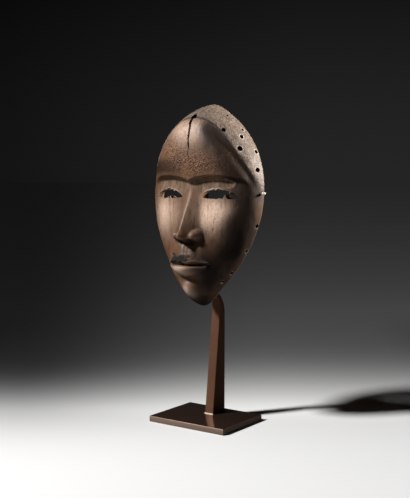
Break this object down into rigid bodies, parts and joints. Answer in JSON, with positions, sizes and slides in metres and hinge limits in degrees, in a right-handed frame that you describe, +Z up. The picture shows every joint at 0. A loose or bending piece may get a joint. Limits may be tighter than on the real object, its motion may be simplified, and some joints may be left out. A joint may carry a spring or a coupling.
{
  "type": "carved face mask on a stand",
  "caption": "Oval carved wooden face mask with pierced eyes and drilled rim, hung on a bent steel post with a flat plate foot.",
  "frame": {"origin": "middle of the base plate's underside", "axes": "+Z up, -Y the way the mask faces, +X to the right of a viewer who faces it"},
  "size_m": [0.146, 0.0941, 0.3529],
  "materials": {
    "dark_wood": "worn dark patina, satin",
    "pale_wood": "raw, matt",
    "bronzed_steel": "dark bronze, satin"
  },
  "bodies": {
    "root": {"mask": "dark_wood", "rim_peg": "pale_wood", "stand_post": "bronzed_steel", "stand_base": "bronzed_steel"}
  },
  "joints": []
}
